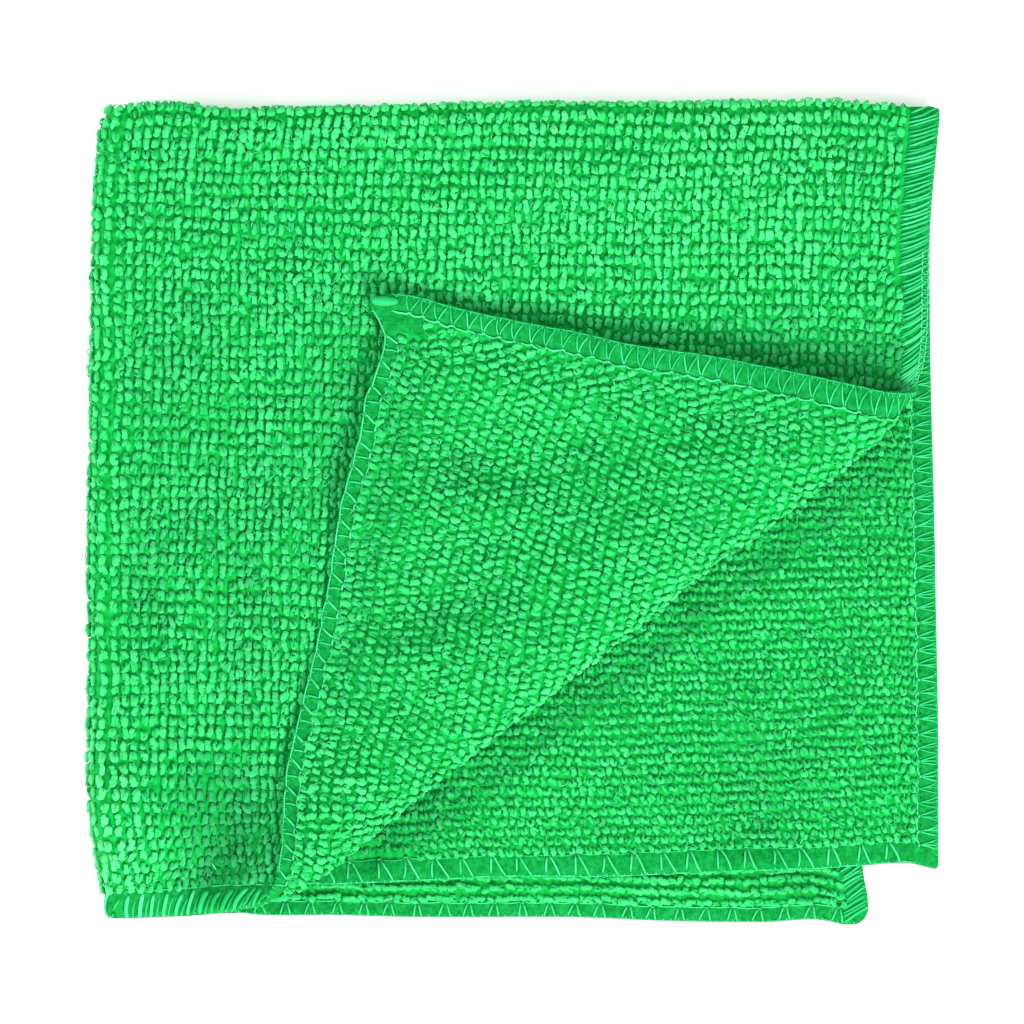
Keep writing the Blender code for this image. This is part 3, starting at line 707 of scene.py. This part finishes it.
def wavy(s, t, amount, seed):
    """Slow uneven drift of the rows and columns."""
    rng = np.random.default_rng(seed)
    ds, dt = np.zeros_like(s), np.zeros_like(t)
    for _ in range(7):
        a, f, p = rng.uniform(0, PI), rng.uniform(0.05, 0.35), rng.uniform(0, 2 * PI)
        w = np.sin((s * np.cos(a) + t * np.sin(a)) * f + p)
        ds, dt = ds + w * rng.normal(0, amount), dt + w * rng.normal(0, amount)
    return s + ds, t + dt


BY = 0.50                # loops start this far past the hem


def stray_fibres(name, s, t, side, count, tilt, seed, nap_and_light_rows):
    """Single pulled fibres that lie over the loops at some of their places."""
    pick = np.random.default_rng(seed).choice(len(s), count, replace=False)
    return yarn_field(name, s[pick], t[pick], side, "fibre", tilt, seed + 1, nap_and_light_rows, 0.6, 1.0, 0.94, 5, 3)


def build_loops():
    made = []
    # face A: ply 1, round the left fold and the top folds
    s, t = lattice(HALF - 4.5 - BY, 3.6, HALF - 5.4 - BY, -2.6, 1.69, 2.14)
    s_bend, t_bend = lattice(2.9, -4.6, HALF - 5.4 - BY, -2.6, 1.10, 2.14)     # closer where it is stretched
    s, t = wavy(np.concatenate([s, s_bend]), np.concatenate([t, t_bend]), 0.13, 3)
    _, _, _, q, past, _ = across_fold(s, t)
    keep = (past < 1.0) & (under_flap(past, q) < 8.0) & ((t > -2.4) | (s > 3)) & (hem_place(s, t, 1)[1] > 0.3)
    s, t = s[keep], t[keep]
    half = np.median(s)
    for part, (label, pick) in enumerate((("left", s < half), ("right", s >= half))):
        made.append(yarn_field("loops_top_" + label, s[pick], t[pick], 1, "looped", 0.0, 11 + part, "top"))
    made.append(stray_fibres("fibres_top", s, t, 1, 1200, 0.0, 61, "top"))
    # face A of plies 3 and 4 round the top fold
    s, t = lattice(-HALF + 4.6 + BY, -7.5, -2.6, 2.6, 1.69, 1.75)
    made.append(yarn_field("loops_lower_fold", s, t, 1, "looped", 0.0, 21, "top"))
    # face B of the turned corner and of the fold before it
    s, t = lattice(HALF - 3.5 - BY, 10.0, HALF - 3.0 - BY, 10.0, 1.62, 2.03, 0.5)
    s, t = wavy(s, t, 0.09, 4)
    _, _, _, _, past, _ = across_fold(s, t)
    keep = (past > 0.8) & ~((HALF - s < BARE[0]) & (HALF - t < BARE[1])) & (hem_place(s, t, -1)[1] > 0.3)
    s, t = s[keep], t[keep]
    made.append(yarn_field("loops_corner", s, t, -1, "corner", -4.0, 31, "corner", 0.10, 1.02))
    made.append(stray_fibres("fibres_corner", s, t, -1, 700, 20.0, 63, "corner"))
    # face B of ply 2
    s, t = lattice(HALF - 3.9 - BY, ARC_LEFT, -HALF + 4.6 + BY, -ARC_TOP, 1.59, 1.96, 0.35)
    s, t = wavy(s, t, 0.07, 5)
    p = lay(s, t)
    out = (p[:, 0] + CENTRE[0] - CREASE_X) * OX + (p[:, 1] + CENTRE[1] - CREASE_Y) * OY
    keep = (out > -7.0) & (hem_place(s, t, -1)[1] > 0.3)
    s, t = s[keep], t[keep]
    made.append(yarn_field("loops_lower", s, t, -1, "lower", 30.0, 41, "lower", 0.08, 1.0, 0.94))
    made.append(stray_fibres("fibres_lower", s, t, -1, 500, 35.0, 65, "lower"))
    # face A of ply 3, where it shows
    s, t = lattice(-HALF + 4.6 + BY, -8.0, -HALF + 3.0 + BY, -HALF + 22.0, 1.66, 2.0, 0.3)
    p = lay(s, t)
    share = (p[:, 0] + CENTRE[0] + 76.0) / 150.0
    keep = p[:, 1] + CENTRE[1] < read(BOTTOM_HEM[2], share) + 7.0
    s, t = s[keep], t[keep]
    made.append(yarn_field("loops_strip", s, t, 1, "looped", 80.0, 51, "strip", 0.11, 0.90))
    return made


# ---- overlock threads ------------------------------------------------------------------------
def at_edge(edge, along, d):
    """Flat place of a point d inside one of the four edges."""
    along, d = np.asarray(along, float), np.asarray(d, float)
    return {"s+": (HALF - d, along), "s-": (d - HALF, along),
            "t+": (along, HALF - d), "t-": (along, d - HALF)}[edge]


class Threads:
    """Collects strokes given by edge, face, (along, distance inside the edge, lift) and radius."""

    def __init__(self):
        self.strokes, self.holes = [], []

    def add(self, edge, side, points, radius, tone=0.5):
        points = np.array(points, float)
        s, t = at_edge(edge, points[:, 0], points[:, 1])
        self.strokes.append((s, t, side, points[:, 2], radius, tone))

    def hole(self, edge, side, along, d, long=0.5, wide=0.4):
        """A needle hole, long along the edge and wide across it."""
        s, t = at_edge(edge, along, d)
        if edge[0] == "s":
            long, wide = wide, long
        self.holes.append((float(s), float(t), side, long, wide))

    def hole_shade_mesh(self, name, corners=9):
        """Each hole as a thin dark lens in the cloth's surface, painted shade for the shaded pit."""
        s, t, side, half_s, half_t = np.array(self.holes).T
        mid, e1, normal = skin(s, t)
        out = normal * side[:, None]
        e2 = np.cross(out, e1)
        base = mid + out * half_thickness(s, t, side)[:, None]
        turn = 2 * PI * np.arange(corners) / corners
        rim = (base[:, None, :] + (half_s[:, None] * np.cos(turn))[..., None] * e1[:, None, :]
               + (half_t[:, None] * np.sin(turn))[..., None] * e2[:, None, :])
        points = np.concatenate([rim, (base + out * 0.05)[:, None], (base - out * 0.10)[:, None]], 1)
        i = np.arange(corners)
        j = (i + 1) % corners
        tris = np.concatenate([np.stack([i, j, np.full(corners, corners)], -1),
                               np.stack([j, i, np.full(corners, corners + 1)], -1)])
        faces = (tris[None] + (np.arange(len(s)) * (corners + 2))[:, None, None]).reshape(-1, 3)
        return make_mesh(name, points.reshape(-1, 3), [faces], {}, HOLE_SHADE)

    def mesh(self, name, sides=6):
        s = np.concatenate([k[0] for k in self.strokes])
        t = np.concatenate([k[1] for k in self.strokes])
        side = np.concatenate([np.full(len(k[0]), k[2]) for k in self.strokes])
        lift = np.concatenate([k[3] for k in self.strokes])
        mid, _, normal = skin(s, t)
        over = half_thickness(s, t, side)
        path = mid + normal * (side * (over + lift))[:, None]
        points, quads, caps, tone, run = [], [], [], [], []
        start, first = 0, 0
        turn = 2 * PI * np.arange(sides) / sides
        for stroke in self.strokes:
            m = len(stroke[0])
            p, nn = path[start:start + m], normal[start:start + m]
            p[:, 2] += max(stroke[4] + 0.02 - p[:, 2].min(), 0.0)
            start += m
            tangent = unit(np.gradient(p, axis=0))
            side_dir = unit(np.cross(tangent, nn))
            up = np.cross(side_dir, tangent)
            r = np.full(m, stroke[4])
            r[0] *= 0.55
            r[-1] *= 0.55
            if stroke[4] > 0.8:                          # a lump of threads, round at its ends
                r = stroke[4] * np.sqrt(np.sin(PI * np.linspace(0.05, 0.93, m)))
            ring = (p[:, None, :] + r[:, None, None] * (np.cos(turn)[None, :, None] * side_dir[:, None, :]
                                                       + 0.8 * np.sin(turn)[None, :, None] * up[:, None, :]))
            points.append(ring.reshape(-1, 3))
            i = first + np.arange(m - 1)[:, None] * sides + np.arange(sides)[None, :]
            j = first + np.arange(m - 1)[:, None] * sides + (np.arange(sides)[None, :] + 1) % sides
            quads.append(np.stack([i, i + sides, j + sides, j], -1).reshape(-1, 4))
            caps.append(first + np.arange(sides))
            caps.append(first + (m - 1) * sides + np.arange(sides)[::-1])
            first += m * sides
            tone.append(np.full(m * sides, stroke[5]))
            length = np.concatenate([[0], np.cumsum(np.linalg.norm(np.diff(p, axis=0), axis=1))])
            run.append(np.repeat(length, sides))
        return make_mesh(name, np.concatenate(points), [np.concatenate(quads), np.array(caps)],
                         {"tone": np.concatenate(tone), "run": np.concatenate(run)}, THREADS)


def hem_at(edge, side, along):
    return float(read(HEM_WIDTH[edge, side], along))


def stroke(a0, d0, a1, d1, lift=0.10, bow=0.0, n=5, arch=0.06):
    """Points of one stitch from one place to another, bowed sideways and standing up a little."""
    u = np.linspace(0, 1, n)
    side = 4 * u * (1 - u)
    length = math.hypot(a1 - a0, d1 - d0)
    na, nd = -(d1 - d0) / length, (a1 - a0) / length
    return np.stack([a0 + (a1 - a0) * u + na * bow * side, d0 + (d1 - d0) * u + nd * bow * side,
                     lift * (0.35 + 0.65 * side) + arch * side], -1)


def hem_fine(th, edge, side, start, end, rng, arms, chain=0.20, pitch=2.75, pits=True):
    """Face B of the hems along t: a chain with a V from each of its knots to the edge."""
    k = start
    while k < end:
        a = k + rng.normal(0, 0.12)
        nxt = k + pitch
        inner = hem_at(edge, side, k) - 0.15
        d = inner + rng.normal(0, 0.12)
        bow = np.array([[0, (0.34 + rng.normal(0, 0.08)) * 4 * u * (1 - u), 0] for u in np.linspace(0, 1, 6)])
        th.add(edge, side, stroke(a - 0.1, d, nxt + 0.1, inner, 0.18, 0.0, 6) + bow, chain + rng.normal(0, 0.02),
               0.80 + rng.normal(0, 0.08))
        th.add(edge, side, stroke(a - 0.35, d + 0.05, a + 0.35, d - 0.05, 0.26, 0.0, 4), chain * 1.1, 0.8)
        for lean in arms:
            lean = lean + rng.normal(0, 0.16)
            th.add(edge, side, stroke(a, d, a + lean, 0.22, 0.10, rng.normal(0, 0.12)), 0.155 + rng.normal(0, 0.012),
                   0.50 + rng.normal(0, 0.12))
        th.add(edge, side, stroke(a + arms[0], 0.22, nxt + arms[0], 0.22, 0.05, rng.normal(0, 0.05), 5), 0.12, 0.45)
        if pits and rng.random() < 0.6:
            th.hole(edge, side, k + pitch * 0.5 + rng.normal(0, 0.2), inner - 0.45, rng.uniform(0.25, 0.42), 0.20)
        k = nxt


def hem_wide(th, edge, side, start, end, rng, pitch=5.1, outer=0.32):
    """Face B of the near hem: straight and slanted stitches with a line along either side."""
    k = start
    while k < end:
        a, nxt = k + rng.normal(0, 0.16), k + pitch
        inner = hem_at(edge, side, k) - 0.1
        d = inner + rng.normal(0, 0.12)
        th.add(edge, side, stroke(a - 0.25, d - 0.3, a - 0.45 + rng.normal(0, 0.18), outer + 0.35 + rng.uniform(0, 0.5),
                                  0.13, rng.normal(0, 0.10)), 0.205, 0.72 + rng.normal(0, 0.1))
        th.add(edge, side, stroke(a + 0.15, d, a + 2.15 + rng.normal(0, 0.25), outer, 0.14, rng.normal(0, 0.12), 6),
               0.20, 0.72 + rng.normal(0, 0.1))
        th.add(edge, side, stroke(a + 2.0, outer, nxt - 0.4, outer, 0.08, rng.normal(0, 0.07), 5), 0.16, 0.62)
        th.add(edge, side, stroke(a - 0.5, outer, a + 2.3, outer, 0.04, rng.normal(-0.1, 0.05), 5), 0.11, 0.35)
        th.add(edge, side, stroke(a + 0.3, d + 0.05, nxt - 0.3, inner + 0.05, 0.08, -0.30, 6), 0.12, 0.35)
        th.add(edge, side, stroke(a - 0.45, d - 0.05, a + 0.35, d + 0.05, 0.10, 0.1, 4), 0.15, 0.6)
        th.hole(edge, side, a, d + 0.48, rng.uniform(0.28, 0.44), 0.24)
        k = nxt


def hem_ladder(th, edge, side, start, end, rng, pitch=5.1, outer=0.28):
    """Face B of the far hem: an outer line, a wavy inner one, and a rung and a slant between."""
    k = start
    while k < end:
        a, nxt = k + rng.normal(0, 0.14), k + pitch
        inner = hem_at(edge, side, k) - 0.05
        d = inner + rng.normal(0, 0.10)
        out = a + 1.5 + rng.normal(0, 0.15)
        th.add(edge, side, stroke(out - 0.2, outer + 0.05, out + pitch, outer, 0.14, -0.16 + rng.normal(0, 0.08), 7),
               0.165, 0.66 + rng.normal(0, 0.08))
        th.add(edge, side, stroke(a, d, out, outer + 0.1, 0.14, rng.normal(0, 0.08), 5), 0.19, 0.74)
        th.add(edge, side, stroke(a - 1.35, d, a - 1.75, outer, 0.12, rng.normal(0.1, 0.08), 5), 0.15, 0.58)
        th.add(edge, side, stroke(a + 0.05, d, a - 1.4, d, 0.24, rng.normal(0.12, 0.05), 5), 0.22, 0.74)
        th.add(edge, side, stroke(a - 1.35, d, a - pitch + 0.05, inner, 0.16, -0.24, 6), 0.19, 0.62 + rng.normal(0, 0.1))
        th.add(edge, side, stroke(a - 0.1, d, a - 0.9, d + 1.3 + rng.normal(0, 0.2), 0.62, 0.1, 5), 0.12, 0.55)
        th.hole(edge, side, a - 0.75, d + 0.40, rng.uniform(0.28, 0.42), 0.24)
        k = nxt


def hem_slanted(th, edge, side, start, end, rng, shifts, pitch=2.45, radius=0.25, tone=0.47):
    """Face A of the hems along t: strands in threes that slant over the hem from between the loops."""
    k = start
    while k < end:
        a = k + rng.normal(0, 0.10)
        inner = hem_at(edge, side, k)
        shift = float(read(shifts, k))
        for i in range(3):
            off = (i - 1) * 0.78 + rng.normal(0, 0.08)
            th.add(edge, side, stroke(a + off - shift * 0.1, inner + rng.uniform(-0.4, 0.7),
                                      a + shift + off + rng.normal(0, 0.12), 0.10, 0.08, rng.normal(0.14, 0.12), 6, 0.05),
                   radius * rng.uniform(0.72, 1.12), tone + rng.uniform(-0.24, 0.32))
        k += pitch


def hem_curved(th, edge, side, start, end, rng, leans, pitch=2.3):
    """Face A of the far hem: thick curved strands, each with a lower one beside it, and an inner line."""
    k = start
    while k < end:
        a = k + rng.normal(0, 0.16)
        inner = hem_at(edge, side, k)
        lean = float(read(leans, k)) + rng.normal(0, 0.2)
        # strands darker past s = 20: painted shadow of the valley by the turned corner's near end
        tone = float(read(TONE_AND_SHADOW_FAR, k))
        th.add(edge, side, stroke(a, 0.25, a + lean, inner * 0.86 + rng.normal(0, 0.25), 0.18,
                                  0.34 + rng.normal(0, 0.08), 8, 0.12), 0.40 + rng.normal(0, 0.05),
               tone + rng.uniform(-0.16, 0.15))
        th.add(edge, side, stroke(a + 1.05, 0.15, a + 1.05 + lean, inner * 0.76 + rng.normal(0, 0.4),
                                  0.02, 0.28 + rng.normal(0, 0.10), 7, 0.03), 0.22, tone * 0.30 + rng.uniform(-0.15, 0.15))
        th.add(edge, side, stroke(a, inner, a + pitch, inner + rng.normal(0, 0.08), 0.12, -0.12, 5), 0.13, 0.60)
        k += pitch


def hem_peaks(th, edge, side, start, end, rng, pitch=5.2):
    """Face A of the near hem of ply 3: a line with a pair of stitches from each of its knots."""
    k = start
    while k < end:
        a, nxt = k + rng.normal(0, 0.16), k + pitch
        inner = hem_at(edge, side, k) - 0.1
        d = inner + rng.normal(0, 0.10)
        th.add(edge, side, stroke(a + 0.25, d - 0.2, a + 1.30 + rng.normal(0, 0.2), 0.25, 0.12, 0.05, 5), 0.175, 0.68)
        th.add(edge, side, stroke(a - 0.30, d - 0.2, a - 0.75 + rng.normal(0, 0.15), 0.25, 0.12, 0.05, 5), 0.175, 0.66)
        th.add(edge, side, stroke(a + 0.3, d, nxt - 0.3, inner, 0.12, -0.20, 6), 0.15, 0.62)
        th.add(edge, side, stroke(a - 0.4, d - 0.05, a + 0.4, d - 0.05, 0.12, -0.12, 4), 0.15, 0.6)
        th.add(edge, side, stroke(a - 0.6, 0.22, nxt - 0.6, 0.22, 0.04, 0.05, 6), 0.11, 0.35)
        th.hole(edge, side, a, d + 0.46, rng.uniform(0.30, 0.48), 0.28)
        k = nxt


def edge_chain(th, edge, side, start, end, rng, pitch=1.35):
    """A narrow chain that lies along the very edge."""
    k = start
    while k < end:
        for d, bow in ((0.25, -0.14), (1.15, 0.16)):
            th.add(edge, side, stroke(k, d + rng.normal(0, 0.05), k + pitch, d, 0.34, bow, 5), 0.135, 0.85)
        th.add(edge, side, stroke(k, 0.25, k + rng.normal(0, 0.1), 1.15, 0.34, 0.05, 4), 0.12, 0.75)
        k += pitch


def wraps(th, edge, start, end, rng, pitch):
    """Strands that go round the very edge from face to face."""
    k = start
    while k < end:
        a = k + rng.normal(0, 0.1)
        bow = rng.normal(0.0, 0.15)
        pts = [(a, 0.75, 0.06), (a + bow * 0.5, 0.25, 0.10), (a + bow, -0.02, 0.14)]
        th.add(edge, 1, pts, 0.15, 0.5 + rng.normal(0, 0.15))
        pts = [(a + bow, -0.02, 0.14), (a + bow * 1.5, 0.25, 0.10), (a + bow * 2, 0.75, 0.06)]
        th.add(edge, -1, pts, 0.15, 0.5 + rng.normal(0, 0.15))
        k += pitch


SLANT_RIGHT = ((0.0, -1.7), (20.0, -2.1), (34.0, -2.7), (50.0, -4.0))      # t, shift over the hem
SLANT_LEFT = ((-150.0, 2.1), (150.0, 2.1))
LEAN_FAR = ((0.0, 1.0), (14.0, 1.5), (22.0, 2.7), (60.0, 3.4))             # s, shift over the hem
TONE_AND_SHADOW_FAR = ((0.0, 0.78), (14.0, 0.74), (20.0, 0.30), (60.0, 0.14))         # s, how light its strands are; the drop past s = 20 is a painted shadow of the valley beside the turned corner's near end


def build_threads():
    rng = np.random.default_rng(77)
    far, near = Threads(), Threads()
    # right hem of the square: ply 1 up to its turned corner, the corner's face B, then ply 2
    hem_slanted(far, "s+", 1, 2.0, 56.0, rng, SLANT_RIGHT)
    edge_chain(far, "s+", 1, 25.0, 54.0, rng)
    hem_fine(far, "s+", -1, 50.0, HALF - 4.5, rng, (0.9, -1.3), 0.20, pits=False)
    hem_fine(near, "s+", -1, -HALF + 4.0, -1.0, rng, (0.2, 1.2, 2.2), 0.165)
    # left hem, where ply 3 shows
    hem_slanted(near, "s-", 1, -HALF + 1.5, -HALF + 30.0, rng, SLANT_LEFT, radius=0.29, tone=0.34)
    # far hem: ply 1, then the turned corner's face B
    hem_curved(far, "t+", 1, 1.0, 62.0, rng, LEAN_FAR)
    hem_ladder(far, "t+", -1, 38.0, HALF - 8.5, rng)
    # near hem: ply 2, then ply 3
    hem_wide(near, "t-", -1, -2.0, HALF - 5.0, rng)
    hem_peaks(near, "t-", 1, -HALF + 6.0, 0.0, rng)
    # the lump of the chain's tail at the turned corner's tip
    far.add("s+", -1, stroke(HALF - 4.7, 1.5, HALF - 0.3, 1.3, 0.0, 0.05, 9, 0.1), 1.05, 0.30)
    for th, edge, lo, hi, pitch in ((far, "s+", 0, HALF - 4, 1.3), (near, "s+", -HALF + 3, 0, 1.3),
                                    (near, "s-", -HALF + 3, HALF - 3, 1.3), (far, "t+", -HALF + 3, HALF - 5, 1.5),
                                    (near, "t-", -HALF + 3, HALF - 3, 1.5)):
        wraps(th, edge, lo, hi, rng, pitch)
    near.holes += far.holes
    return [far.mesh("thread_far", 5), near.mesh("thread_near", 5), near.hole_shade_mesh("needle_hole_shade")]


# ---- putting it together ---------------------------------------------------------------------
sheet = build_sheet()
extras = build_loops() + build_threads()
for piece in [sheet] + extras:
    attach(piece, "root")
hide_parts("cloth")

# floor
floor_mesh = bpy.data.meshes.new("floor")
R = 6.0
floor_mesh.from_pydata([(-R, -R, 0), (R, -R, 0), (R, R, 0), (-R, R, 0)], [], [(0, 1, 2, 3)])
floor = bpy.data.objects.new("floor", floor_mesh)
floor.location.z = -0.0002
floor_mesh.materials.append(floor_material())
bpy.context.scene.collection.objects.link(floor)

# light: a wide soft key from the near side and an even white surround
world = bpy.data.worlds.new("studio")
bpy.context.scene.world = world
world.use_nodes = True
world.node_tree.nodes["Background"].inputs[0].default_value = (1.0, 1.0, 1.0, 1.0)
world.node_tree.nodes["Background"].inputs[1].default_value = 1.24


def area_light(name, place, size, power, aim=(0, 0, 0)):
    data = bpy.data.lights.new(name, "AREA")
    data.shape, data.size, data.energy = "SQUARE", size, power
    obj = bpy.data.objects.new(name, data)
    obj.location = place
    direction = np.array(aim, float) - np.array(place, float)
    from mathutils import Vector
    obj.rotation_mode = "QUATERNION"
    obj.rotation_quaternion = Vector(direction).to_track_quat("-Z", "Y")
    bpy.context.scene.collection.objects.link(obj)
    return obj


area_light("key", (0.72, -1.35, 1.25), 0.55, 80.0)
area_light("side", (-1.50, -0.20, 0.80), 0.9, 30.0)

# camera: straight above, the frame 192 mm wide
cam_data = bpy.data.cameras.new("camera")
cam = bpy.data.objects.new("camera", cam_data)
FRAME, HEIGHT, LEVEL = 0.192, 2.0, 0.006
cam_data.sensor_width = 36.0
cam_data.lens = 36.0 * (HEIGHT - LEVEL) / FRAME
cam_data.clip_start, cam_data.clip_end = 0.05, 30.0
cam.location = ((-0.17 - CENTRE[0]) * 0.001, (0.06 - CENTRE[1]) * 0.001, HEIGHT)
bpy.context.scene.collection.objects.link(cam)
bpy.context.scene.camera = cam
bpy.context.scene.view_settings.view_transform = "Standard"

for piece in [sheet] + extras:
    print("triangles", piece.name, triangles(piece))
